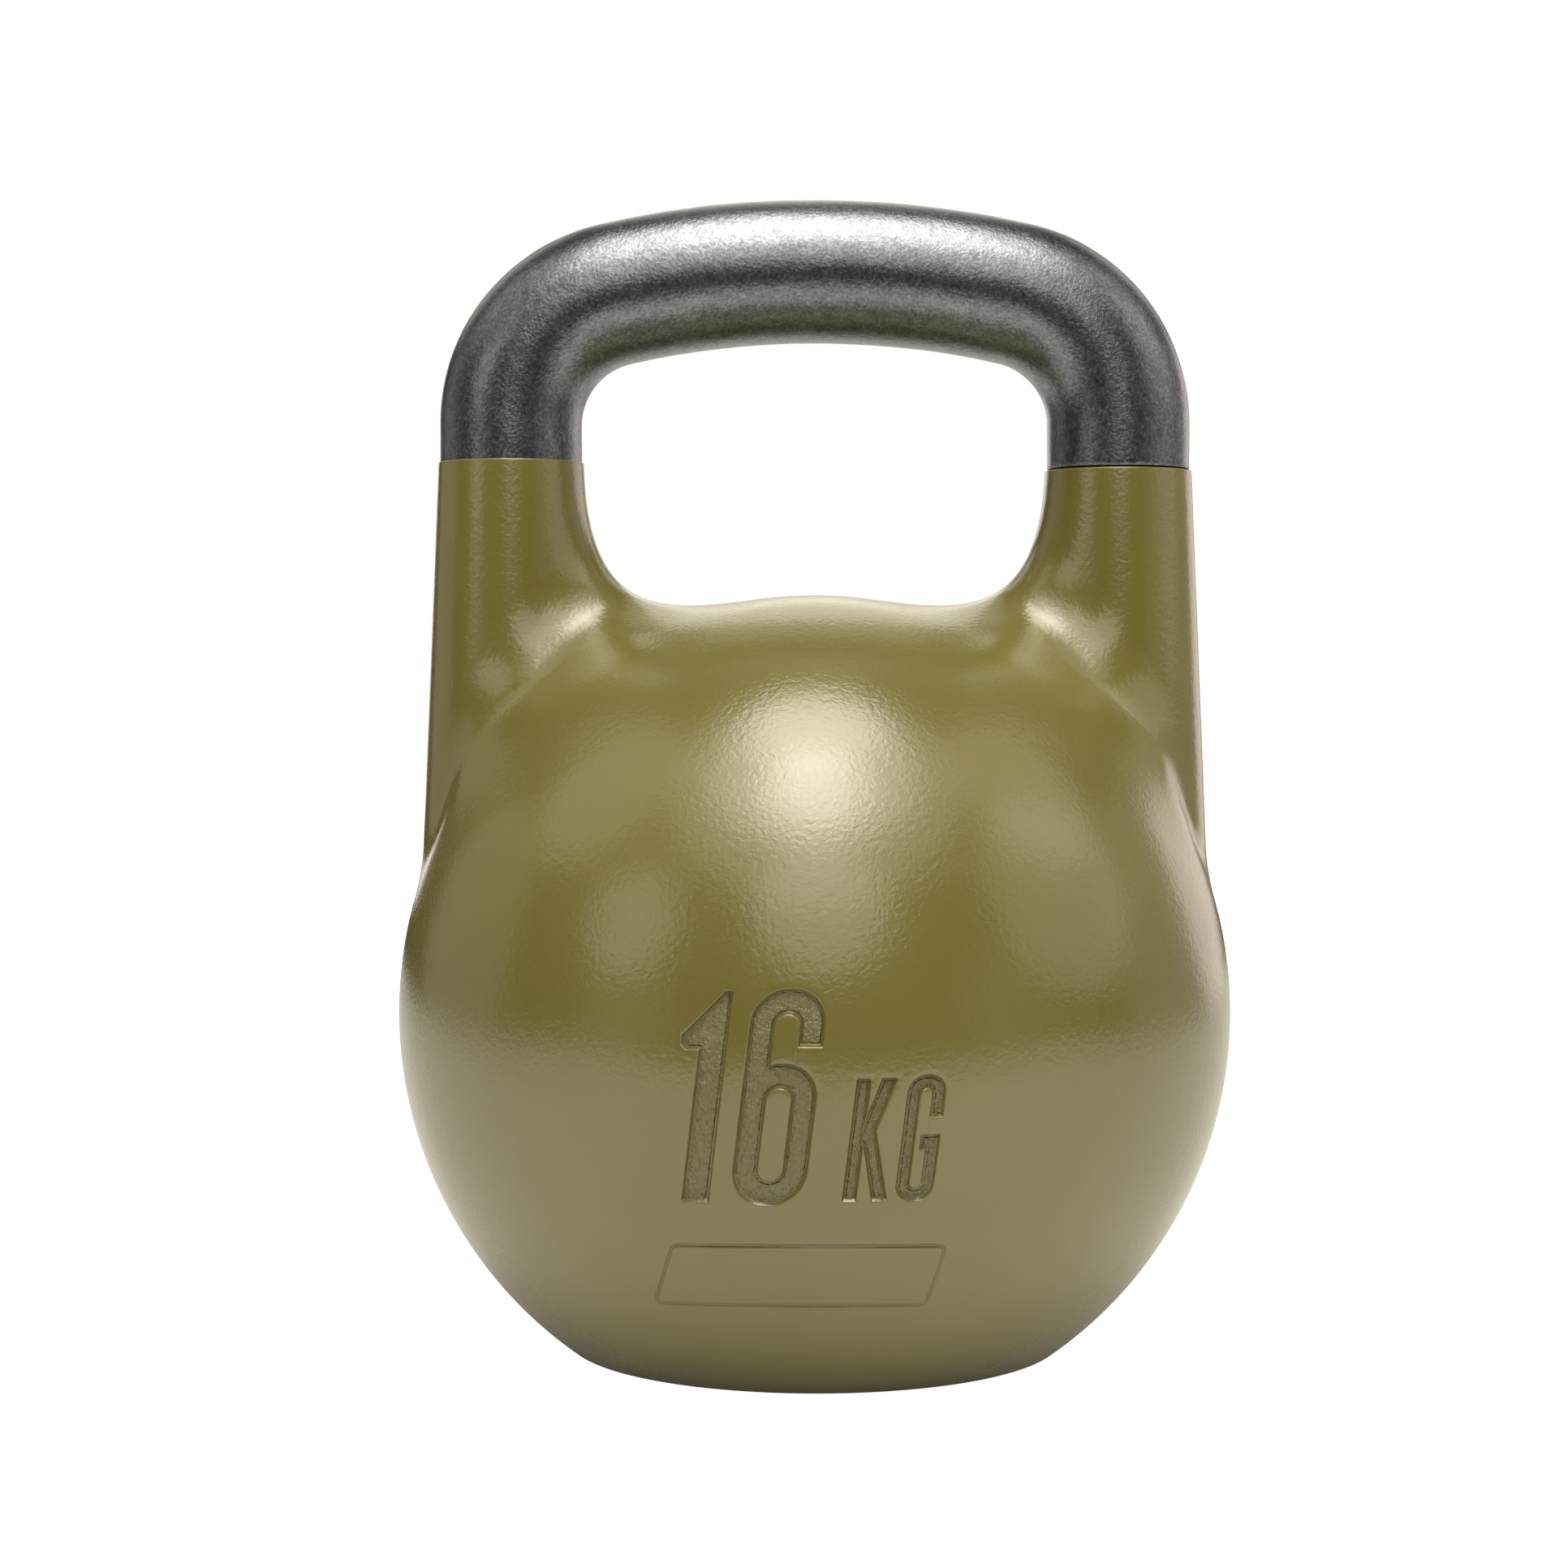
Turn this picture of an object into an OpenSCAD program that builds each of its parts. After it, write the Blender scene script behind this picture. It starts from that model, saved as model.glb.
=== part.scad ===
// Competition-style kettlebell: a hollow cast ball with two horns, a bent steel
// bar as the handle, and a weighted filling closed by a plug in the flat base.
// Millimetres. +Z is up, the flat base stands on z = 0 and the ball is centred
// on the Z axis. The handle lies in the XZ plane; the front faces -Y.

/* [Ball] */
// Outside radius of the ball
ball_r = 105; // [96:1:114]
// Height of the ball's centre above the flat base
centre_z = 85; // [78:1:90]
// Thickness of the cast wall round the cavity
wall = 8; // [6:0.5:11]
// Thickness of the floor that holds the plug
floor_t = 12; // [11:0.5:16]
// Width of the chamfer round the base
base_chamfer = 1.5; // [0.5:0.25:3]

/* [Horns] */
// Distance from the ball's axis to each horn's axis
horn_x = 76.84; // [75.4:0.18:78.28]
// Height of the horn rims above the base
rim_z = 222; // [216:1:228]
// Outside radius of a horn at its rim
rim_r = 18.45; // [18.2:0.05:19.5]
// Widening of a horn for each millimetre down from its rim
flare = 0.042; // [0:0.002:0.05]
// Reach of the blend onto the ball, measured from the horn axis, outer side
foot_out = 23.6; // [23:0.2:25]
// Reach of the blend onto the ball, measured from the horn axis, inner side
foot_in = 50; // [42:1:52]

/* [Handle] */
// Diameter of the steel bar
bar_d = 35.8; // [33:0.2:36]
// Height of the top of the handle above the base
top_z = 289.6; // [286:0.2:296]
// Radius of the two bends, at the bar's centreline
bend_r = 34; // [31.3:0.9:36.7]
// Diameter of the turned-down spigots
spigot_d = 28; // [24:0.5:29]
// Length of the spigots
spigot_l = 32; // [20:1:34]

/* [Filling and plug] */
// Height of the poured shot above the cavity floor
shot_h = 20.5; // [12:0.5:40]
// Diameter of the threaded hole in the base
plug_d = 40; // [34:1:46]
// Width across flats of the plug's key socket
key_af = 14; // [10:1:17]

/* [Hidden] */
$fn = 96;
fit = 0.1;            // radial clearance of pieces that slip into place
gap = 0.2;            // clearance between the filling and the casting
socket_l = spigot_l + 1;
cavity_r = ball_r - wall;
bar_r = bar_d / 2;
leg_x = horn_x;       // the bar's legs stand on the horn axes

// The bar's centreline: a vertical leg, a bend, a shallow arch, a bend, a leg.
// The arch's ends lean by the angle of a 9-40-41 triangle.
lean = [9, 40];
bend_x = leg_x - bend_r;
arch_r = bend_r + bend_x * 41 / lean[0];
arch_z = top_z - bar_r - arch_r;
bend_z = arch_z + bend_x * lean[1] / lean[0];

// Plug and seal heights above the base
plug_recess = 1.5;
plug_t = 6;
seal_t = 1.5;
nose_d = plug_d - 10;
ledge_z = plug_recess + plug_t + seal_t;

// Weld ring at each rim: a groove in the rim, and a bead against the bar
groove_in = 15.9;
groove_out = 17.6;
groove_t = 1.2;
bead_out = 18.2;
bead_h = 0.6;

// Horn blend: rings of points from the rim down onto the ball
around = 40;
straight_rings = 3;
blend_rings = 8;
sink = 0.8;           // the last ring lies this far under the ball's surface
rise_out = 9;         // height of the blend above its foot, outer side
rise_in = 33;         // and on the inner side, towards the hand gap

// Smooth step from 0 to 1 as a goes from lo to hi.
function ease(a, lo, hi) = let (t = min(1, max(0, (a - lo) / (hi - lo)))) t * t * (3 - 2 * t);

// Height above the ball's centre of a sphere of radius r, at reach s from the
// horn axis in direction a (0 points away from the ball's axis).
function ball_top(r, s, a) =
    sqrt(r * r - pow(horn_x + s * cos(a), 2) - pow(s * sin(a), 2));

// Direction from 0 (outer side) to 180 (inner side), the same on both flanks.
function fold(a) = abs(a > 180 ? a - 360 : a);

function reach(a) = foot_out + (foot_in - foot_out) * ease(fold(a), 55, 140);
function rise(a) = rise_out + (rise_in - rise_out) * ease(fold(a), 40, 150);
function horn_r(z) = rim_r + (rim_z - z) * flare;

// Points [reach, height] of one profile of the horn, in direction a.
function foot(a) = [reach(a), centre_z + ball_top(ball_r - sink, reach(a), a)];
function slope(a) = (ball_top(ball_r, reach(a) + 0.1, a) - ball_top(ball_r, reach(a) - 0.1, a)) / 0.2;
function start_z(a) = min(foot(a)[1] + rise(a), rim_z - 1);
function bezier(p, t) =
    pow(1 - t, 3) * p[0] + 3 * t * pow(1 - t, 2) * p[1] + 3 * t * t * (1 - t) * p[2] + pow(t, 3) * p[3];
function blend(a) =
    let (b = foot(a), z = start_z(a), s = horn_r(z), h = z - b[1], w = b[0] - s,
         u = [1, slope(a)] / norm([1, slope(a)]))
    [[s, z], [s + 0.6 * h * flare, z - 0.6 * h], b - 0.6 * max(w, 2) * u, b];
function profile(a) = concat(
    [for (i = [0 : straight_rings - 1])
        let (z = rim_z + (start_z(a) - rim_z) * i / straight_rings) [horn_r(z), z]],
    [for (i = [0 : blend_rings]) bezier(blend(a), i / blend_rings)]);

// One horn, solid, from its flat rim down into the ball.
module horn_body() {
    rings = straight_rings + blend_rings + 1;
    directions = [for (j = [0 : around - 1]) j * 360 / around];
    profiles = [for (a = directions) profile(a)];
    points = concat(
        [for (i = [0 : rings - 1]) for (j = [0 : around - 1])
            [horn_x + profiles[j][i][0] * cos(directions[j]),
             profiles[j][i][0] * sin(directions[j]),
             profiles[j][i][1]]],
        [[horn_x * 0.8, 0, centre_z + 30]]);
    bottom = len(points) - 1;
    faces = concat(
        [[for (j = [0 : around - 1]) around - 1 - j]],
        [for (i = [0 : rings - 2]) for (j = [0 : around - 1]) for (half = [0, 1])
            let (k = (j + 1) % around, p = i * around, q = p + around)
            half == 0 ? [p + j, p + k, q + k] : [p + j, q + k, q + j]],
        [for (j = [0 : around - 1])
            let (k = (j + 1) % around, p = (rings - 1) * around) [p + j, p + k, bottom]]);
    polyhedron(points, faces, convexity = 6);
}

module both_sides() {
    children();
    mirror([1, 0, 0]) children();
}

// Space inside the ball, down to the floor, made smaller by c all round.
module cavity(c = 0) {
    intersection() {
        translate([0, 0, centre_z]) sphere(cavity_r - c);
        translate([-ball_r, -ball_r, floor_t + c]) cube(2 * ball_r);
    }
}

module bell_shell() {
    base_r = sqrt(ball_r * ball_r - centre_z * centre_z);
    color([0.42, 0.40, 0.18]) difference() {
        union() {
            intersection() {
                translate([0, 0, centre_z]) sphere(ball_r, $fn = 144);
                cylinder(h = 2 * ball_r, r1 = base_r - base_chamfer, r2 = base_r - base_chamfer + 6 * ball_r);
            }
            both_sides() horn_body();
        }
        cavity();
        // hole for the plug, with a ledge for its seal
        translate([0, 0, -1]) cylinder(h = ledge_z + 1, d = plug_d);
        translate([0, 0, -1]) cylinder(h = floor_t + 2, d = nose_d + 2 * fit);
        // blind sockets for the handle, with a groove round each mouth
        both_sides() translate([horn_x, 0, rim_z - socket_l]) {
            cylinder(h = socket_l + 1, d = spigot_d + 2 * fit);
            translate([0, 0, socket_l - groove_t]) cylinder(h = groove_t + 1, r = groove_out);
        }
    }
}

// Part of a bent bar: a ring of radius r, kept where it lies inside the sector.
module bar_arc(r, sector) {
    rotate([90, 0, 0]) intersection() {
        rotate_extrude($fn = 144) translate([r, 0]) circle(bar_r, $fn = 72);
        linear_extrude(3 * bar_r, center = true) polygon(sector);
    }
}

module grip_handle() {
    shoulder = bead_h;
    arch_end = 7 * lean;
    bend_end = 2 * lean;
    color([0.36, 0.36, 0.37]) {
        translate([0, 0, arch_z]) bar_arc(arch_r, [[0, 0], arch_end, [-arch_end[0], arch_end[1]]]);
        both_sides() {
            translate([bend_x, 0, bend_z])
                bar_arc(bend_r, [[0, 0], [80, 0], [80, 80], bend_end]);
            translate([leg_x, 0, rim_z + shoulder]) cylinder(h = bend_z - rim_z - shoulder, r = bar_r);
            translate([leg_x, 0, rim_z]) cylinder(h = shoulder, r1 = bar_r - shoulder, r2 = bar_r);
            translate([leg_x, 0, rim_z - spigot_l + 2]) cylinder(h = spigot_l - 2, d = spigot_d);
            translate([leg_x, 0, rim_z - spigot_l]) cylinder(h = 2, d1 = spigot_d - 4, d2 = spigot_d);
        }
    }
}

// Ring of weld metal that fills the groove in a rim and seals it to the bar.
module weld_ring() {
    chamfer_in = bar_r - bead_h;
    color([0.72, 0.70, 0.64]) translate([horn_x, 0, rim_z]) rotate_extrude()
        polygon([[groove_in, -groove_t], [groove_out, -groove_t], [groove_out, 0], [bead_out, 0],
                 [bead_out - 0.05, bead_h * 0.55], [bar_r, bead_h], [chamfer_in, 0], [groove_in, 0]]);
}

module right_weld_ring() {
    weld_ring();
}

module left_weld_ring() {
    mirror([1, 0, 0]) weld_ring();
}

// Steel shot set in resin, lying on the cavity floor round the plug's nose.
module shot_ballast() {
    color([0.32, 0.32, 0.33]) difference() {
        intersection() {
            cavity(gap);
            cylinder(h = floor_t + shot_h, r = cavity_r);
        }
        translate([0, 0, floor_t]) cylinder(h = 1.5, d = nose_d + 2 * fit);
    }
}

// Light packing that fills the rest of the cavity.
module filler_packing() {
    color([0.60, 0.47, 0.30]) difference() {
        cavity(gap);
        translate([0, 0, floor_t - 1]) cylinder(h = shot_h + 1 + gap, r = cavity_r);
    }
}

module core_plug() {
    key_r = key_af / 2 / cos(30);
    color([0.55, 0.55, 0.57]) translate([0, 0, plug_recess]) difference() {
        union() {
            cylinder(h = 1, d1 = plug_d - 2 * fit - 2, d2 = plug_d - 2 * fit);
            translate([0, 0, 1]) cylinder(h = plug_t - 1, d = plug_d - 2 * fit);
            translate([0, 0, plug_t]) cylinder(h = floor_t - plug_recess - plug_t, d = nose_d);
        }
        translate([0, 0, -1]) linear_extrude(6) polygon([for (i = [0 : 5]) key_r * [cos(60 * i), sin(60 * i)]]);
    }
}

module plug_seal() {
    color([0.08, 0.08, 0.08]) translate([0, 0, ledge_z - seal_t]) difference() {
        cylinder(h = seal_t, d = plug_d - 1);
        translate([0, 0, -1]) cylinder(h = seal_t + 2, d = nose_d + 2 * fit);
    }
}

bell_shell();
grip_handle();
left_weld_ring();
right_weld_ring();
shot_ballast();
filler_packing();
core_plug();
plug_seal();
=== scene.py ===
"""Kettlebell: the visual model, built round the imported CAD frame.

Metres in the scene, millimetres in the shape functions. +Z is up, the flat base
stands on z = 0 and the front, with the weight mark, faces -Y.
"""
import math

import bmesh
import bpy
import numpy as np
from mathutils import Matrix, Vector, noise


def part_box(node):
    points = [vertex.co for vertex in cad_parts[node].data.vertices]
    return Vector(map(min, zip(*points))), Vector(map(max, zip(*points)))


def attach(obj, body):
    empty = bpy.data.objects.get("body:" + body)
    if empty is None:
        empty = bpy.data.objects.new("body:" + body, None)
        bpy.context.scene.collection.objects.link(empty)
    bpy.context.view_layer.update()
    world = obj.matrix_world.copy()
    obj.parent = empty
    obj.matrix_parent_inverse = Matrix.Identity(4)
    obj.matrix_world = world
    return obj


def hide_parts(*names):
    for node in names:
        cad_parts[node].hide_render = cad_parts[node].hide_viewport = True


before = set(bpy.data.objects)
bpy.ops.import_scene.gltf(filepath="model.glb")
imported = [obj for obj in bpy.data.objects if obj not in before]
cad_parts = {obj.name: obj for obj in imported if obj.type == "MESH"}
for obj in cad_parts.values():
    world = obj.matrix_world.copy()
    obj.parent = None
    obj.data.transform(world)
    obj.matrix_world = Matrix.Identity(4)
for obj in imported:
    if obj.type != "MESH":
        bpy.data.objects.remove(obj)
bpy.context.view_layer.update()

MM = 0.001
scene = bpy.context.scene

# ---------------------------------------------------------------- sizes, mm
_, shell_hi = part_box("bell_shell")
_, bar_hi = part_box("grip_handle")

BALL_R = 105.0
CENTRE_Z = 85.0
HORN_X = 76.84
RIM_Z = shell_hi[2] / MM
RIM_R = 18.45
RIM_LOWER = 1.1        # the paint ends this much higher on the left, lower on the right
FLARE = 0.042
WALL = 8.0
FLOOR = 12.0
BASE_ROUND = 3.0
BASE_CUT = 6.0         # below this height the shell is turned, not remeshed
BAR_R = 17.9
TOP_Z = bar_hi[2] / MM
BEND_R = 34.0
BEND_X = HORN_X - BEND_R
ARCH_R = BEND_R + BEND_X * 41 / 9
SPIGOT_R = 14.0
SPIGOT_L = 32.0
HOLE_R = 20.0
NOSE_R = 15.1
LEDGE_Z = 9.0
FIT = 0.1              # clearance of the spigots in their sockets
HORN_FOOT_Z = 98.0     # a horn's own field ends here, inside the ball
LIP_R = 0.42           # rounded lip of paint round each rim

# weight mark, mm: the part of the ball that it lies in, and how deep it is pressed
MARK_FRONT_Y = -60.0
MARK_HALF_X = 39.0
MARK_LOW_Z, MARK_HIGH_Z = 22.0, 103.0
FIGURE_DEPTH = 1.30
LINE_DEPTH = 0.36
GRAIN = 0.32

# camera, metres and degrees
CAMERA_AT = (0.0, -0.800, 0.1684)
CAMERA_TILT = 1.88     # looking down
CAMERA_TURN = 0.55     # to the left
CAMERA_LENS = 72.3
LIGHT_DISTANCE = 1.5
LIGHT_TARGET = (0.0, 0.0, 0.15)


# ---------------------------------------------------------------- camera
def add_camera():
    """From the front, a little above the middle."""
    data = bpy.data.cameras.new("camera")
    data.sensor_width = 36.0
    data.lens = CAMERA_LENS
    data.clip_start = 0.05
    cam = bpy.data.objects.new("camera", data)
    scene.collection.objects.link(cam)
    cam.location = CAMERA_AT
    cam.rotation_euler = (math.radians(90 - CAMERA_TILT), 0.0, math.radians(CAMERA_TURN))
    scene.camera = cam


# ---------------------------------------------------------------- shape of the casting
def smooth(t):
    """0..1 with level ends."""
    t = np.clip(t, 0.0, 1.0)
    return t * t * (3 - 2 * t)


def blend_in(a, b, k):
    """Smaller of two fields, rounded where they meet over a reach of k."""
    h = np.maximum(k - np.abs(a - b), 0.0)
    return np.minimum(a, b) - h * h / (4 * k)


def shell_distance(p):
    """Signed distance, nearly, to the outside of the casting, in mm.

    Each horn runs into the ball in a fillet, tight outside and wide inside. In front
    and behind, the fillet ends in a soft crease, and a narrow facet drops to the ball."""
    x, y, z = p[:, 0], p[:, 1], p[:, 2]
    ball = np.sqrt(x * x + y * y + (z - CENTRE_Z) ** 2) - BALL_R
    d = ball
    for side in (-1.0, 1.0):
        dx = x * side - HORN_X
        around = np.degrees(np.arctan2(np.abs(y), dx))
        horn = (np.hypot(dx, y) - RIM_R - (RIM_Z - z) * FLARE) / math.hypot(1, FLARE)
        horn = np.maximum(horn, HORN_FOOT_Z - z)
        plain = blend_in(ball, horn, 2.5 + 40.0 * smooth((around - 62.0) / 68.0))
        # from the horn's outer side (0) to its inner side (180): how far the crease
        # stands off the horn and off the ball, and how far off the horn the facet ends
        beside = 0.8 + 10.2 * smooth((around - 20.0) / 160.0)
        above = 6.3 - 3.3 * smooth((around - 80.0) / 100.0)
        end = 1.2 + 36.8 * smooth((around - 40.0) / 140.0)
        lean = (end - beside) / above
        wide = blend_in(ball, horn, (np.sqrt(beside) + np.sqrt(above)) ** 2)
        drop = lean * np.minimum(ball - above, 0.0)
        facet = (horn - beside + drop) / np.sqrt(1 + lean * lean)
        foot = -blend_in(-wide, -facet, 2.2)
        stepped = blend_in(ball, foot, 10.0)
        step = smooth((around - 36.0) / 36.0) * smooth((172.0 - around) / 62.0)
        d = np.minimum(d, plain + step * (stepped - plain))
    return d


def shell_normal(p, step=0.02):
    """Slope of the field, not scaled to length one."""
    g = np.empty_like(p)
    for axis in range(3):
        q = np.zeros(3)
        q[axis] = step
        g[:, axis] = shell_distance(p + q) - shell_distance(p - q)
    return g / (2 * step)


def onto_shell(p, rounds=6):
    """Moves points along the field's slope until they lie on the surface."""
    p = p.copy()
    for _ in range(rounds):
        g = shell_normal(p)
        p -= g * (shell_distance(p) / np.maximum((g * g).sum(1), 1e-6))[:, None]
    return p


# ---------------------------------------------------------------- weight mark
def polygon_distance(u, v, pts):
    """Signed distance to a closed polygon, negative inside."""
    best = np.full(u.shape, 1e9)
    inside = np.zeros(u.shape, bool)
    n = len(pts)
    for i in range(n):
        ax, ay = pts[i]
        bx, by = pts[(i + 1) % n]
        ex, ey = bx - ax, by - ay
        wx, wy = u - ax, v - ay
        t = np.clip((wx * ex + wy * ey) / (ex * ex + ey * ey), 0, 1)
        best = np.minimum(best, (wx - ex * t) ** 2 + (wy - ey * t) ** 2)
        crosses = ((ay > v) != (by > v)) & (u < ex * (v - ay) / (ey if ey else 1e-9) + ax)
        inside ^= crosses
    return np.where(inside, -1.0, 1.0) * np.sqrt(best)


def round_box(u, v, left, right, low, high, r):
    """Signed distance to a box with rounded corners."""
    hx, hy = (right - left) / 2, (high - low) / 2
    dx = np.abs(u - (left + right) / 2) - hx + r
    dy = np.abs(v - (low + high) / 2) - hy + r
    return np.hypot(np.maximum(dx, 0), np.maximum(dy, 0)) + np.minimum(np.maximum(dx, dy), 0) - r


def loop(u, v, left, right, low, high, t):
    """A tall closed loop of stroke t with round ends."""
    outer = round_box(u, v, left, right, low, high, (right - left) / 2 - 0.4)
    inner = round_box(u, v, left + t, right - t, low + t, high - t, (right - left) / 2 - t)
    return np.maximum(outer, -inner)


def digit_one(u, v):
    stem = [(-29.6, -0.6), (-23.9, -0.6), (-23.9, 47.2), (-25.2, 47.2), (-33.8, 37.4),
            (-33.8, 35.6), (-32.8, 34.6), (-29.6, 34.6)]
    return polygon_distance(u, v, stem) - 0.15


def digit_six(u, v):
    left, right, t = -19.0, -2.4, 5.4
    full = loop(u, v, left, right, -1.0, 48.0, t)
    gap = round_box(u, v, right - t - 0.2, right + 4, 25.0, 35.4, 0.05)
    bowl = loop(u, v, left, right, -1.0, 31.4, t)
    return np.minimum(np.maximum(full, -gap), bowl)


def letter_k(u, v):
    stem = round_box(u, v, 6.3, 9.3, 0.0, 28.0, 0.2)
    arm = polygon_distance(u, v, [(8.2, 14.2), (12.0, 28.0), (15.1, 28.0), (10.3, 12.0)]) - 0.1
    leg = polygon_distance(u, v, [(9.0, 15.4), (13.0, 0.1), (16.1, 0.1), (11.4, 17.4)]) - 0.1
    return np.minimum(stem, np.minimum(arm, leg))


def letter_g(u, v):
    left, right, t = 18.0, 26.4, 2.8
    full = loop(u, v, left, right, -0.2, 28.6, t)
    gap = round_box(u, v, right - t - 0.2, right + 3, 15.0, 19.2, 0.05)
    bar = round_box(u, v, 22.2, right, 11.8, 15.0, 0.1)
    return np.minimum(np.maximum(full, -gap), bar)


def plain_panel(u, v):
    """Outline of a blank slanted panel under the weight mark."""
    corners = [(-31.5, -24.4), (27.5, -24.4), (29.5, -12.4), (-29.5, -12.4)]
    return polygon_distance(u, v, corners) - 1.6


def mark_fields(p):
    """Distance to the sunken figures and to the panel's line, for points on the ball."""
    x, z = p[:, 0], p[:, 2] - CENTRE_Z
    v = z + 33.0
    u = x - 0.12 * v
    figures = np.minimum(np.minimum(digit_one(u, v), digit_six(u, v)),
                         np.minimum(letter_k(u, v), letter_g(u, v)))
    bend = 0.0009 * x * x
    line = np.abs(plain_panel(u, v + bend)) - 0.28
    return figures, line


def ramp(t, e=0.16):
    """0..1 in a straight line with its two corners eased over e."""
    t = np.clip(t, 0.0, 1.0)
    low = t * t / (2 * e)
    high = (1 - e) - (1 - t) ** 2 / (2 * e)
    return np.where(t < e, low, np.where(t > 1 - e, high, t - e / 2)) / (1 - e)


def sunk(p):
    """At each point: how far it is pressed in, how sandy it is, and how much painted shade it
    gets along the figures' walls and in the panel's groove.
    """
    figures, line = mark_fields(p)
    wall = ramp((0.30 - figures) / 0.80)
    shoulder = smooth((1.4 - figures) / 1.5)
    depth = FIGURE_DEPTH * (0.94 * wall + 0.06 * shoulder)
    groove = ramp((0.28 - line) / 0.42)
    depth += LINE_DEPTH * groove
    # painted shade: a band just inside each figure's edge, and the panel's groove, darken the
    # paint colour in place of the shade that falls in these recesses
    recess_shade = smooth((figures + 1.0) / 0.45) * smooth((0.1 - figures) / 0.4)
    return depth, smooth((-figures - 0.45) / 0.4), np.maximum(recess_shade, 0.75 * groove)


# ---------------------------------------------------------------- mesh helpers
def link(name, mesh, material=None, node=None):
    piece = bpy.data.objects.new(name, mesh)
    scene.collection.objects.link(piece)
    if material:
        mesh.materials.append(material)
    if node:
        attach(piece, "root")
        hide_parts(node)
    return piece


def coords(mesh):
    co = np.empty(len(mesh.vertices) * 3)
    mesh.vertices.foreach_get("co", co)
    return co.reshape(-1, 3) / MM


def set_coords(mesh, p):
    mesh.vertices.foreach_set("co", (p * MM).ravel())
    mesh.update()


def shade_smooth(mesh):
    mesh.polygons.foreach_set("use_smooth", np.ones(len(mesh.polygons), bool))


def voxel_copy(mesh, size):
    """The mesh remeshed into even quads, as a new mesh."""
    temp = bpy.data.objects.new("temp", mesh)
    scene.collection.objects.link(temp)
    mod = temp.modifiers.new("remesh", "REMESH")
    mod.mode = "VOXEL"
    mod.voxel_size = size * MM
    mod.adaptivity = 0.0
    depsgraph = bpy.context.evaluated_depsgraph_get()
    out = bpy.data.meshes.new_from_object(temp.evaluated_get(depsgraph))
    bpy.data.objects.remove(temp)
    return out


def angle_about(vert, cx):
    """Angle of a vertex about the upright axis at x = cx."""
    return math.atan2(vert.co.y, vert.co.x - cx * MM)


def onto_circle(verts, cx, r, z):
    """Moves an edge's vertices onto a true circle, each at its own angle."""
    for w in verts:
        a = angle_about(w, cx)
        w.co = Vector(((cx + r * math.cos(a)) * MM, r * math.sin(a) * MM, z * MM))


def edge_ring(bm, z):
    """Open edge vertices lying at height z, mm."""
    found = set()
    for e in bm.edges:
        if e.is_boundary and all(abs(w.co.z / MM - z) < 0.02 for w in e.verts):
            found.update(e.verts)
    return found


def turned(bm, verts, cx, profile):
    """Continues an open circular edge down a profile of (radius, height) points.

    The new rings keep the edge's own angles, so they join it vertex to vertex. The
    last ring is closed to a point on the axis."""
    ring = sorted(verts, key=lambda w: angle_about(w, cx))
    angles = [angle_about(w, cx) for w in ring]
    for r, z in profile:
        nxt = [bm.verts.new(((cx + r * math.cos(a)) * MM, r * math.sin(a) * MM, z * MM))
               for a in angles]
        for i in range(len(ring)):
            j = (i + 1) % len(ring)
            bm.faces.new((ring[i], ring[j], nxt[j], nxt[i]))
        ring = nxt
    tip = bm.verts.new((cx * MM, 0.0, profile[-1][1] * MM))
    for i in range(len(ring)):
        bm.faces.new((ring[i], ring[(i + 1) % len(ring)], tip))


def arc(cx, cz, r, a0, a1, n):
    """Points of an arc in the radius-height plane, end points included."""
    return [(cx + r * math.cos(math.radians(a0 + (a1 - a0) * i / n)),
             cz + r * math.sin(math.radians(a0 + (a1 - a0) * i / n))) for i in range(n + 1)]


# ---------------------------------------------------------------- the casting
def rough_shell():
    """Ball and two horns, overlapping, ready to be remeshed into one skin."""
    bm = bmesh.new()
    bmesh.ops.create_icosphere(bm, subdivisions=6, radius=BALL_R * MM,
                               matrix=Matrix.Translation((0, 0, CENTRE_Z * MM)))
    low, high = 110.0, RIM_Z + 6
    for side in (-1, 1):
        place = Matrix.Translation((side * HORN_X * MM, 0, (low + high) / 2 * MM))
        bmesh.ops.create_cone(bm, cap_ends=True, segments=96, matrix=place,
                              radius1=(RIM_R + (RIM_Z - low) * FLARE) * MM,
                              radius2=(RIM_R + (RIM_Z - high) * FLARE) * MM,
                              depth=(high - low) * MM)
    mesh = bpy.data.meshes.new("rough_shell")
    bm.to_mesh(mesh)
    bm.free()
    return mesh


def refine(bm, wanted):
    """Splits in four each face whose centre passes the test."""
    faces = list(bm.faces)
    centres = np.array([f.calc_center_median()[:] for f in faces]) / MM
    chosen = wanted(centres)
    edges = {e for f, c in zip(faces, chosen) if c for e in f.edges}
    bmesh.ops.subdivide_edges(bm, edges=list(edges), cuts=1, use_grid_fill=True)


def near_mark(c):
    x, y, z = c[:, 0], c[:, 1], c[:, 2]
    return ((y < MARK_FRONT_Y) & (np.abs(x) < MARK_HALF_X)
            & (z > MARK_LOW_Z) & (z < MARK_HIGH_Z))


def on_mark_edge(c):
    figures, line = mark_fields(c)
    return near_mark(c) & ((np.abs(figures) < 1.1) | (np.abs(line) < 0.9))


def rim_height(side):
    return RIM_Z - side * RIM_LOWER


def cut_open(bm):
    """Cuts off the base and the horn tops, which turned profiles continue."""
    bmesh.ops.bisect_plane(bm, geom=bm.verts[:] + bm.edges[:] + bm.faces[:], dist=1e-7,
                           plane_co=(0, 0, BASE_CUT * MM), plane_no=(0, 0, -1),
                           clear_outer=True)
    for side in (-1, 1):
        faces = []
        for f in bm.faces:
            c = f.calc_center_median()
            if c.x * side > 0 and c.z > 0.19:
                faces.append(f)
        geom = set(faces)
        geom |= {e for f in faces for e in f.edges} | {w for f in faces for w in f.verts}
        bmesh.ops.bisect_plane(bm, geom=list(geom), dist=1e-7,
                               plane_co=(0, 0, rim_height(side) * MM),
                               plane_no=(0, 0, 1), clear_outer=True)


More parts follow.
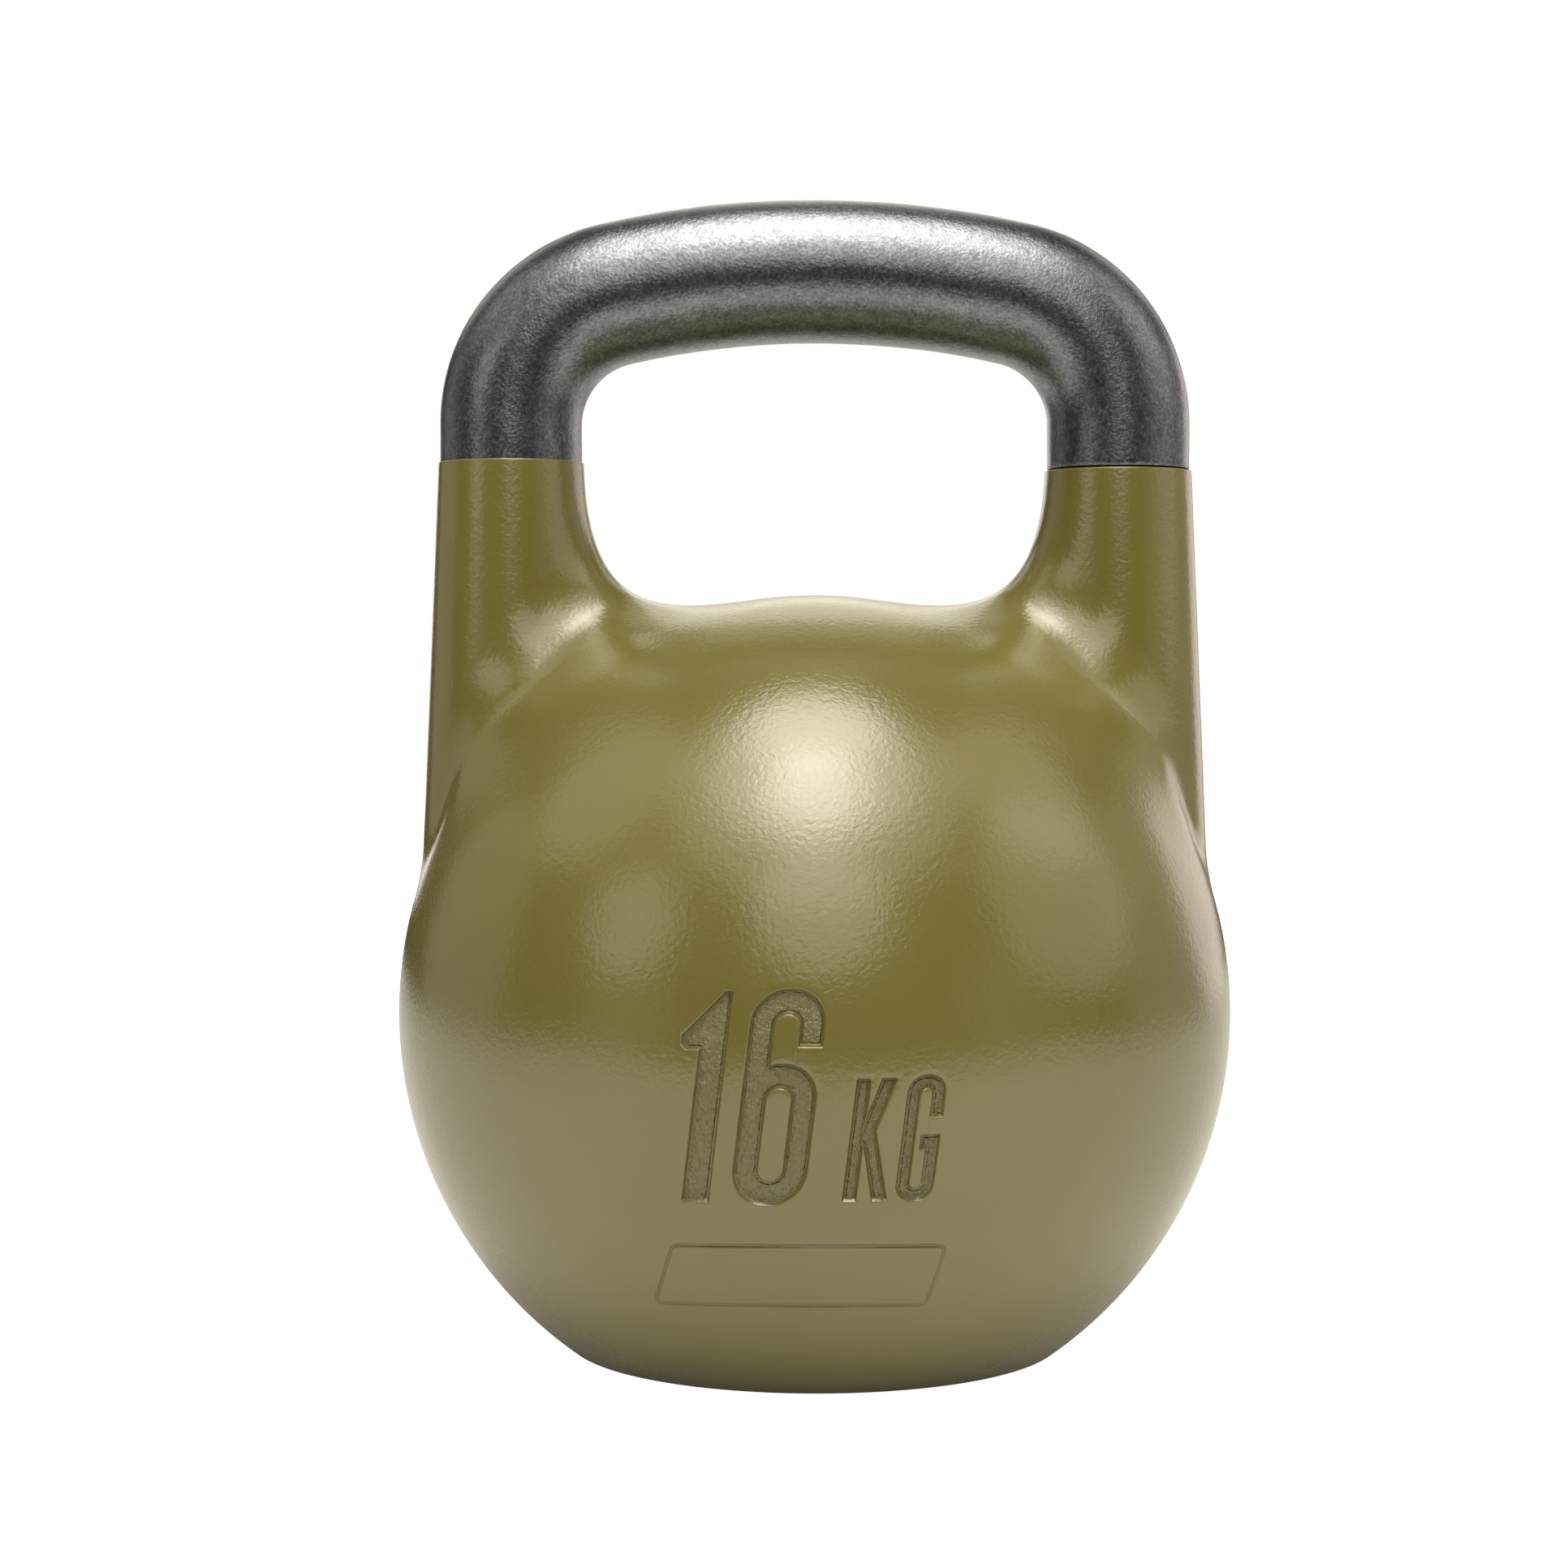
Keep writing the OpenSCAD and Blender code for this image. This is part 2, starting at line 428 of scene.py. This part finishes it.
def press_mark(mesh):
    """Every point back onto the exact surface, then pressed in at the mark."""
    p = coords(mesh)
    lowest_rim = min(rim_height(-1), rim_height(1))
    cut = (np.abs(p[:, 2] - BASE_CUT) < 1e-3) | (p[:, 2] > lowest_rim - 1e-3)
    q = onto_shell(p)
    q[cut] = p[cut]
    front = near_mark(q)
    depth = np.zeros(len(q))
    sandy = np.zeros(len(q))
    depth[front], sandy[front], _ = sunk(q[front])
    outward = q - np.array([0, 0, CENTRE_Z])
    outward /= np.linalg.norm(outward, axis=1)[:, None]
    grain = np.zeros(len(q))
    for i in np.nonzero(sandy > 0.02)[0]:
        at = Vector(q[i])
        grain[i] = 0.6 * noise.noise(at * 1.5) + 0.4 * noise.noise(at * 2.9)
    q -= outward * (depth - GRAIN * sandy * grain)[:, None]
    set_coords(mesh, q)


def add_base(bm):
    """The rest of the ball, a rounded corner, the flat, the plug hole and the cavity."""
    base = edge_ring(bm, BASE_CUT)
    out = BALL_R - BASE_ROUND
    corner_x = math.sqrt(out ** 2 - (CENTRE_Z - BASE_ROUND) ** 2)
    start = math.degrees(math.asin((CENTRE_Z - BASE_ROUND) / out))
    ball_end = -math.degrees(math.asin((CENTRE_Z - BASE_CUT) / BALL_R))
    inner_r = BALL_R - WALL
    floor_r = math.sqrt(inner_r ** 2 - (CENTRE_Z - FLOOR) ** 2)
    cavity_start = -math.degrees(math.asin((CENTRE_Z - FLOOR) / inner_r))
    profile = arc(0, CENTRE_Z, BALL_R, ball_end, -start, 5)[1:]
    profile += arc(corner_x, BASE_ROUND, BASE_ROUND, -start, -90, 7)[1:]
    profile += [(r, 0.0) for r in (corner_x - 0.5, 50.0, 40.0, 30.0, HOLE_R + 1.0)]
    profile += arc(HOLE_R + 0.8, 0.8, 0.8, -90, -180, 4)
    profile += [(HOLE_R, 1.2), (HOLE_R, LEDGE_Z), (NOSE_R, LEDGE_Z), (NOSE_R, FLOOR),
                (NOSE_R + 0.4, FLOOR), (floor_r - 0.4, FLOOR)]
    profile += arc(0, CENTRE_Z, inner_r, cavity_start, 89.0, 60)
    onto_circle(base, 0.0, math.sqrt(BALL_R ** 2 - (CENTRE_Z - BASE_CUT) ** 2), BASE_CUT)
    turned(bm, base, 0.0, profile)


def add_rims(bm):
    """A rounded lip of paint, the flat rim, and the blind socket for the bar."""
    for side in (-1, 1):
        z = rim_height(side)
        rim = edge_ring(bm, z)
        r = RIM_R + (RIM_Z - z) * FLARE
        onto_circle(rim, side * HORN_X, r, z)
        lip = arc(r - LIP_R, z + 0.02, LIP_R, 4, 150, 9)
        socket_r = SPIGOT_R + FIT
        turned(bm, rim, side * HORN_X,
               lip + [(BAR_R + 0.02, z - 0.05), (socket_r, z - 0.05),
                      (socket_r, RIM_Z - SPIGOT_L - 1)])


def write_paint_masks(mesh):
    """How sandy each vertex is, and how much painted shade of the mark's recesses it gets, for
    the paint.
    """
    p = coords(mesh)
    front = near_mark(p)
    _, sandy, recess_shade = sunk(p[front])
    for name, values in (("sandy", sandy), ("recess_shade", recess_shade)):
        whole = np.zeros(len(p))
        whole[front] = values
        mesh.attributes.new(name, "FLOAT", "POINT").data.foreach_set("value", whole)


def write_exact_normals(mesh):
    """Exact normals wherever the surface is the plain field, for clean reflections."""
    p = coords(mesh)
    plain = (np.abs(shell_distance(p)) < 0.01) & ~near_mark(p) & (p[:, 2] > BASE_CUT + 0.1)
    normals = np.zeros_like(p)
    exact = shell_normal(p[plain])
    normals[plain] = exact / np.linalg.norm(exact, axis=1)[:, None]
    mesh.normals_split_custom_set_from_vertices([tuple(n) for n in normals])


def build_shell(material):
    size = 1.15
    mesh = voxel_copy(rough_shell(), 1.8)
    set_coords(mesh, onto_shell(coords(mesh)))
    mesh = voxel_copy(mesh, size)
    set_coords(mesh, onto_shell(coords(mesh)))

    bm = bmesh.new()
    bm.from_mesh(mesh)
    cut_open(bm)
    for _ in range(2):
        refine(bm, near_mark)
    refine(bm, on_mark_edge)
    bm.to_mesh(mesh)
    bm.free()
    press_mark(mesh)

    bm = bmesh.new()
    bm.from_mesh(mesh)
    add_base(bm)
    add_rims(bm)
    bmesh.ops.remove_doubles(bm, verts=bm.verts[:], dist=0.004 * MM)
    bmesh.ops.recalc_face_normals(bm, faces=bm.faces[:])
    final = bpy.data.meshes.new("bell_casting")
    bm.to_mesh(final)
    bm.free()
    bpy.data.meshes.remove(mesh)
    shade_smooth(final)
    write_paint_masks(final)
    write_exact_normals(final)
    return link("bell_casting", final, material, "bell_shell")


# ---------------------------------------------------------------- the handle
def bar_path():
    """Stations of the bar, left spigot to right: x, z, angle of travel, radius."""
    arch_z = TOP_Z - BAR_R - ARCH_R
    bend_z = arch_z + BEND_X * 40 / 9
    lean = math.degrees(math.atan2(9, 40))
    out = []
    foot = RIM_Z - SPIGOT_L
    out += [(-HORN_X, foot, 90, SPIGOT_R - 2), (-HORN_X, foot + 2, 90, SPIGOT_R),
            (-HORN_X, RIM_Z - 0.5, 90, SPIGOT_R), (-HORN_X, RIM_Z - 0.5, 90, BAR_R - 0.7),
            (-HORN_X, RIM_Z - 0.3, 90, BAR_R - 0.2), (-HORN_X, RIM_Z, 90, BAR_R)]
    steps = 9
    out += [(-HORN_X, RIM_Z + (bend_z - RIM_Z) * i / steps, 90, BAR_R)
            for i in range(1, steps)]
    n = 44
    for i in range(n + 1):
        a = (90 - lean) * i / n
        out.append((-BEND_X - BEND_R * math.cos(math.radians(a)),
                    bend_z + BEND_R * math.sin(math.radians(a)), 90 - a, BAR_R))
    n = 80
    for i in range(1, n // 2 + 1):
        a = lean - 2 * lean * i / n
        out.append((-ARCH_R * math.sin(math.radians(a)),
                    arch_z + ARCH_R * math.cos(math.radians(a)), a, BAR_R))
    mirrored = [(-x, z, -a, r) for x, z, a, r in reversed(out[:-1])]
    return out + mirrored


def build_bar(material):
    """The bent bar, drawn very slightly uneven above its spigots."""
    sides = 112
    rows = []
    bm = bmesh.new()
    for x, z, a, r in bar_path():
        t = math.radians(a)
        across = Vector((-math.sin(t), 0, math.cos(t)))
        row = []
        for j in range(sides):
            w = 2 * math.pi * j / sides
            unit = across * math.cos(w) + Vector((0, -1, 0)) * math.sin(w)
            at = Vector((x, 0, z)) + unit * r
            if r == BAR_R and z > RIM_Z + 1:
                at += unit * (0.10 * noise.noise(at * 0.05) + 0.05 * noise.noise(at * 0.16))
            row.append(bm.verts.new(at * MM))
        rows.append(row)
    for a, b in zip(rows, rows[1:]):
        for j in range(sides):
            k = (j + 1) % sides
            bm.faces.new((a[j], a[k], b[k], b[j]))
    bm.faces.new(list(reversed(rows[0])))
    bm.faces.new(rows[-1])
    bmesh.ops.recalc_face_normals(bm, faces=bm.faces[:])
    mesh = bpy.data.meshes.new("steel_bar")
    bm.to_mesh(mesh)
    bm.free()
    shade_smooth(mesh)
    return link("steel_bar", mesh, material, "grip_handle")


def build_bead(side, node, material):
    """Thin uneven bead of weld where the bar enters the rim."""
    z0 = rim_height(side)
    steps, sides = 180, 10
    bm = bmesh.new()
    rows = []
    for i in range(steps):
        a = 2 * math.pi * i / steps
        out = Vector((math.cos(a), math.sin(a), 0))
        swell = 0.30 + 0.05 * noise.noise(Vector((side * 9, math.cos(a) * 4, math.sin(a) * 4)))
        row = []
        for j in range(sides):
            w = 2 * math.pi * j / sides
            at = Vector((side * HORN_X, 0, z0 + 0.05))
            at += out * (BAR_R + 0.08 + swell * math.cos(w))
            at.z += swell * 0.9 * math.sin(w)
            row.append(bm.verts.new(at * MM))
        rows.append(row)
    for i in range(steps):
        a, b = rows[i], rows[(i + 1) % steps]
        for j in range(sides):
            k = (j + 1) % sides
            bm.faces.new((a[j], a[k], b[k], b[j]))
    bmesh.ops.recalc_face_normals(bm, faces=bm.faces[:])
    mesh = bpy.data.meshes.new(node.replace("ring", "bead"))
    bm.to_mesh(mesh)
    bm.free()
    shade_smooth(mesh)
    return link(mesh.name, mesh, material, node)


# ---------------------------------------------------------------- materials
class Nodes:
    """Short way to wire a node tree."""

    def __init__(self, name):
        self.material = bpy.data.materials.new(name)
        self.material.use_nodes = True
        self.tree = self.material.node_tree
        self.shader = self.tree.nodes["Principled BSDF"]

    def add(self, kind, **settings):
        node = self.tree.nodes.new(kind)
        for key, value in settings.items():
            setattr(node, key, value)
        return node

    def join(self, a, b):
        self.tree.links.new(a, b)

    def place(self):
        """Object position."""
        return self.add("ShaderNodeTexCoord").outputs["Object"]

    def noise(self, where, scale, detail=2.0, rough=0.5, distortion=0.0):
        node = self.add("ShaderNodeTexNoise")
        node.inputs["Scale"].default_value = scale
        node.inputs["Detail"].default_value = detail
        node.inputs["Roughness"].default_value = rough
        node.inputs["Distortion"].default_value = distortion
        self.join(where, node.inputs["Vector"])
        return node.outputs["Fac"]

    def math(self, op, a, b, c=None):
        node = self.add("ShaderNodeMath", operation=op)
        for i, value in enumerate((a, b, c)):
            if value is None:
                continue
            if isinstance(value, (int, float)):
                node.inputs[i].default_value = value
            else:
                self.join(value, node.inputs[i])
        return node.outputs[0]

    def ramp(self, factor, stops):
        node = self.add("ShaderNodeValToRGB")
        elements = node.color_ramp.elements
        while len(elements) < len(stops):
            elements.new(0.5)
        for e, (at, colour) in zip(elements, stops):
            e.position = at
            e.color = (*colour, 1.0)
        self.join(factor, node.inputs["Fac"])
        return node.outputs["Color"]

    def span(self, value, low, high):
        """Value from 0..1 spread over low..high."""
        return self.math("MULTIPLY_ADD", value, high - low, low)

    def bump(self, height, distance, after=None):
        node = self.add("ShaderNodeBump")
        node.inputs["Strength"].default_value = 1.0
        node.inputs["Distance"].default_value = distance
        self.join(height, node.inputs["Height"])
        if after is not None:
            self.join(after, node.inputs["Normal"])
        return node.outputs["Normal"]


def srgb(r, g, b):
    """Linear colour from 0..255 sRGB."""
    return tuple(((c / 255 + 0.055) / 1.055) ** 2.4 if c > 10 else c / 255 / 12.92
                 for c in (r, g, b))


def paint_material():
    """Olive powder coat: a fine wrinkle, a sandy speckle on the sunken figures' floors, and
    painted shade darkening their walls and the panel's groove.
    """
    m = Nodes("olive_powder_coat")
    s = m.shader
    where = m.place()
    drift = m.noise(where, 14.0, 3.0)
    tone = m.ramp(drift, [(0.30, srgb(103, 96, 46)), (0.70, srgb(110, 103, 51))])
    recess_shade = m.add("ShaderNodeAttribute", attribute_name="recess_shade").outputs["Fac"]
    sandy = m.add("ShaderNodeAttribute", attribute_name="sandy").outputs["Fac"]
    # painted shade: along the mark's walls and groove the colour is darkened towards the shade
    # colour below; the speckle mixed in is the sandy floors' own grain
    shade = m.add("ShaderNodeMix", data_type="RGBA", blend_type="MULTIPLY")
    speck = m.math("MULTIPLY", m.span(m.noise(where, 1100.0, 2.0, 0.6), -1.8, 2.0), sandy)
    m.join(m.math("MULTIPLY_ADD", recess_shade, 0.45, m.math("MULTIPLY", speck, 0.6)),
           shade.inputs["Factor"])
    m.join(tone, shade.inputs["A"])
    # the darkening colour, for the painted shade and for the sand speckle
    shade.inputs["B"].default_value = (0.40, 0.38, 0.30, 1)
    m.join(shade.outputs["Result"], s.inputs["Base Color"])
    s.inputs["IOR"].default_value = 1.75
    cloud = m.noise(where, 60.0, 2.0)
    rough = m.span(cloud, 0.18, 0.25)
    m.join(m.math("MULTIPLY_ADD", sandy, 0.14, rough), s.inputs["Roughness"])
    peel = m.noise(where, 820.0, 1.0, 0.5, 0.5)
    swell = m.noise(where, 330.0, 1.0)
    skin = m.math("MULTIPLY_ADD", swell, 0.3, peel)
    first = m.bump(skin, 0.00007)
    sand = m.math("MULTIPLY", m.noise(where, 1300.0, 2.0, 0.6), sandy)
    m.join(m.bump(sand, 0.0006, first), s.inputs["Normal"])
    return m.material


def steel_material():
    """Bare blasted steel, with a fine grain in tone, finish and relief."""
    m = Nodes("bare_steel")
    s = m.shader
    where = m.place()
    grain = m.noise(where, 1250.0, 2.0, 0.6)
    blotch = m.noise(where, 420.0, 2.0, 0.5)
    drift = m.noise(where, 22.0, 2.0)
    mix = m.math("MULTIPLY_ADD", blotch, 0.30, m.math("MULTIPLY", grain, 0.70))
    tone = m.math("MULTIPLY_ADD", drift, 0.12, mix)
    stops = [(0.40, srgb(94, 97, 103)), (0.56, srgb(113, 117, 123)), (0.72, srgb(136, 140, 147))]
    m.join(m.ramp(tone, stops), s.inputs["Base Color"])
    s.inputs["Metallic"].default_value = 1.0
    m.join(m.span(grain, 0.25, 0.38), s.inputs["Roughness"])
    m.join(m.bump(mix, 0.00014), s.inputs["Normal"])
    return m.material


def plain_material(name, low, high, scale, metallic, rough, bump):
    """Two close tones, an uneven finish and a fine relief."""
    m = Nodes(name)
    s = m.shader
    where = m.place()
    tone = m.noise(where, scale, 4.0, 0.6)
    m.join(m.ramp(tone, [(0.35, low), (0.65, high)]), s.inputs["Base Color"])
    s.inputs["Metallic"].default_value = metallic
    m.join(m.span(tone, rough - 0.08, rough + 0.08), s.inputs["Roughness"])
    m.join(m.bump(tone, bump), s.inputs["Normal"])
    return m.material


def set_material(node, material):
    """Gives a carried-over CAD node its material."""
    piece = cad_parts[node]
    piece.data.materials.clear()
    piece.data.materials.append(material)
    shade_smooth(piece.data)


# ---------------------------------------------------------------- studio
def flat_sheet(name, width, front, back, z):
    """A level rectangle of the studio, facing up."""
    mesh = bpy.data.meshes.new(name)
    bm = bmesh.new()
    corners = ((-width, front, z), (width, front, z), (width, back, z), (-width, back, z))
    bm.faces.new([bm.verts.new(c) for c in corners])
    bm.to_mesh(mesh)
    bm.free()
    m = Nodes(name)
    m.shader.inputs["Roughness"].default_value = 0.9
    m.shader.inputs["Specular IOR Level"].default_value = 0.2
    m.shader.inputs["Emission Color"].default_value = (1, 1, 1, 1)
    sheet = link(name, mesh, m.material)
    return sheet, m.shader


def build_studio():
    """A pale table, and the wider white floor that the camera sees in its place."""
    table, shader = flat_sheet("studio_table", 1.0, -0.5, 1.5, 0.0)
    shader.inputs["Base Color"].default_value = (0.85, 0.85, 0.85, 1)
    shader.inputs["Emission Strength"].default_value = 0.06
    table.visible_camera = False
    table.visible_shadow = False
    floor, shader = flat_sheet("studio_floor", 4.0, -4.0, 4.0, -0.0004)
    shader.inputs["Base Color"].default_value = (0.9, 0.93, 1.0, 1)
    shader.inputs["Emission Strength"].default_value = 1.0
    for kind in ("diffuse", "glossy", "transmission", "volume_scatter", "shadow"):
        setattr(floor, "visible_" + kind, False)


def area_light(name, azimuth, elevation, half_angle, radiance, colour):
    """A soft disc aimed at the target, sized by the half angle it fills as seen from there.

    Azimuth 0 is in front and positive to the right."""
    radius = LIGHT_DISTANCE * math.tan(math.radians(half_angle))
    data = bpy.data.lights.new(name, "AREA")
    data.shape = "DISK"
    data.size = 2 * radius
    data.energy = radiance * math.pi * math.pi * radius * radius
    data.color = colour
    lamp = bpy.data.objects.new(name, data)
    scene.collection.objects.link(lamp)
    a, e = math.radians(azimuth), math.radians(elevation)
    away = Vector((math.sin(a) * math.cos(e), -math.cos(a) * math.cos(e), math.sin(e)))
    lamp.location = Vector(LIGHT_TARGET) + away * LIGHT_DISTANCE
    lamp.rotation_euler = away.to_track_quat("Z", "Y").to_euler()
    lamp.visible_camera = False


def build_world():
    """White to the camera, nearly dark to the object."""
    world = bpy.data.worlds.new("studio")
    scene.world = world
    world.use_nodes = True
    tree = world.node_tree
    dim = tree.nodes["Background"]
    dim.inputs["Color"].default_value = (1.0, 0.97, 0.92, 1)
    dim.inputs["Strength"].default_value = 0.02
    bright = tree.nodes.new("ShaderNodeBackground")
    bright.inputs["Color"].default_value = (1, 1, 1, 1)
    path = tree.nodes.new("ShaderNodeLightPath")
    mix = tree.nodes.new("ShaderNodeMixShader")
    tree.links.new(path.outputs["Is Camera Ray"], mix.inputs["Fac"])
    tree.links.new(dim.outputs[0], mix.inputs[1])
    tree.links.new(bright.outputs[0], mix.inputs[2])
    tree.links.new(mix.outputs[0], tree.nodes["World Output"].inputs["Surface"])


def build_lights():
    warm, rosy = (1.0, 0.95, 0.82), (1.0, 0.88, 0.82)
    # name, azimuth, elevation, half angle (degrees), radiance, colour
    single = [
        ("key_lamp", 0, 63, 6, 6.5, warm),       # hot centre of the round highlight
        ("key_core", 0, 63, 13, 4.5, warm),
        ("key", 0, 68, 24, 2.2, warm),           # its soft edge
        ("key_wide", 0, 64, 34, 1.1, warm),
        ("overhead", 0, 84, 15, 3.4, warm),      # top of the bar, top of the ball
        ("front_low", 2, 29, 17, 1.8, warm),     # the pale field under the highlight
        ("small_front", -52, 22, 13, 1.3, warm),
        ("fill_right", 76, 24, 22, 0.9, warm),
        ("rim_right", 140, 6, 15, 1.6, rosy),
        ("rim_left", -160, 5, 8, 1.8, rosy),
        ("back_low", 180, 6, 18, 0.9, warm),
        ("back", 180, 30, 13, 1.4, warm),
        ("back_top", 180, 50, 14, 0.6, warm),
    ]
    # the same, once on the left and once on the right
    pairs = [
        ("strip", 50, 4, 12, 0.3, warm),
        ("side", 90, 45, 18, 0.9, warm),
        ("panel", 110, 8, 22, 0.4, warm),
        ("back_side", 148, 32, 13, 1.0, warm),
    ]
    for name, azimuth, *rest in pairs:
        single.append((name + "_left", -azimuth, *rest))
        single.append((name + "_right", azimuth, *rest))
    for light in single:
        area_light(*light)


# ---------------------------------------------------------------- build
add_camera()
build_studio()
build_world()
build_lights()
scene.view_settings.view_transform = "Standard"
scene.view_settings.look = "None"

paint = paint_material()
steel = steel_material()
weld = plain_material("weld_metal", srgb(150, 146, 138), srgb(205, 200, 190),
                      900.0, 1.0, 0.35, 0.0001)
build_shell(paint)
build_bar(steel)
build_bead(-1, "left_weld_ring", weld)
build_bead(1, "right_weld_ring", weld)

# node, material, its two tones, noise scale, metallic, roughness, relief in metres
for node, name, low, high, scale, metallic, rough, relief in (
        ("core_plug", "turned_steel", (120, 120, 122), (165, 165, 168), 400.0, 1.0, 0.4, 0.0001),
        ("plug_seal", "black_rubber", (18, 18, 18), (34, 34, 34), 500.0, 0.0, 0.7, 0.0001),
        ("shot_ballast", "bound_shot", (70, 70, 72), (120, 120, 124), 420.0, 0.8, 0.5, 0.0008),
        ("filler_packing", "light_packing", (150, 118, 78), (196, 162, 112), 240.0, 0.0, 0.9,
         0.001)):
    set_material(node, plain_material(name, srgb(*low), srgb(*high), scale, metallic, rough,
                                      relief))
